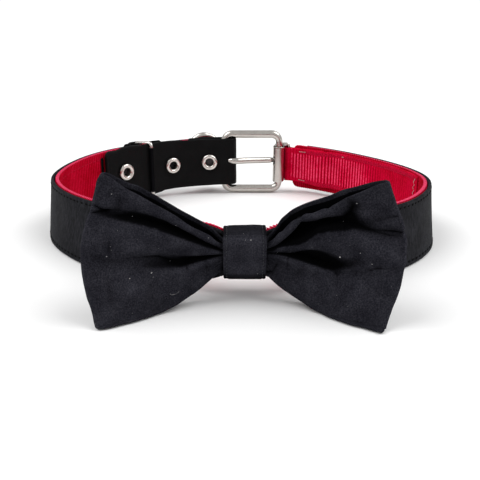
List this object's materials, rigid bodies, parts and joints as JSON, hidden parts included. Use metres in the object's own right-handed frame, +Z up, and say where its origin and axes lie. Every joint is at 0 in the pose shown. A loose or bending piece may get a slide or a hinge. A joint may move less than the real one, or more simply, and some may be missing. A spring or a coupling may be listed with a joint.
{
  "type": "bow tie dog collar",
  "caption": "Webbing dog collar buckled into a loop and standing on its edge, with a black cloth bow tie at the front, a red lining, an eyelet strap, a wire buckle and a leash ring.",
  "frame": {"origin": "on the floor under the middle of the whole object's box", "axes": "+Z up from the edge it stands on, the bow faces -Y, the buckle is at the rear (+Y), +X is the viewer's right when the bow is seen from the front"},
  "size_m": [0.1756, 0.1854, 0.0485],
  "materials": {
    "black_webbing": "satin woven polyester webbing, black",
    "red_webbing": "matt woven polyester webbing, crimson, with a ribbed face on the narrow tab",
    "black_strap": "smooth black coated strap, semi-matt",
    "black_cloth": "plain-weave cotton cloth, blue-black, matt",
    "nickel": "satin nickel plate"
  },
  "bodies": {
    "collar": {"band_outer": "black_webbing", "band_lining": "red_webbing", "tail_strap": "black_strap", "eyelet_1": "nickel", "eyelet_2": "nickel", "eyelet_3": "nickel", "buckle_frame": "nickel", "buckle_sleeve": "nickel", "buckle_tongue": "nickel", "tab_ring": "nickel", "buckle_tab": "red_webbing", "keeper_wire": "nickel", "keeper_tab": "black_strap", "d_ring_tab": "black_webbing", "wing_left": "black_cloth", "wing_right": "black_cloth", "bow_knot": "black_cloth"},
    "leash_ring": {"d_ring": "nickel"}
  },
  "joints": [
    {"name": "leash_ring_hinge", "type": "hinge", "parent": "collar", "child": "leash_ring", "pos_m": [-0.01243, 0.08907, 0.01824], "axis": [0, 0, 1], "range_deg": [-165, 0]}
  ]
}
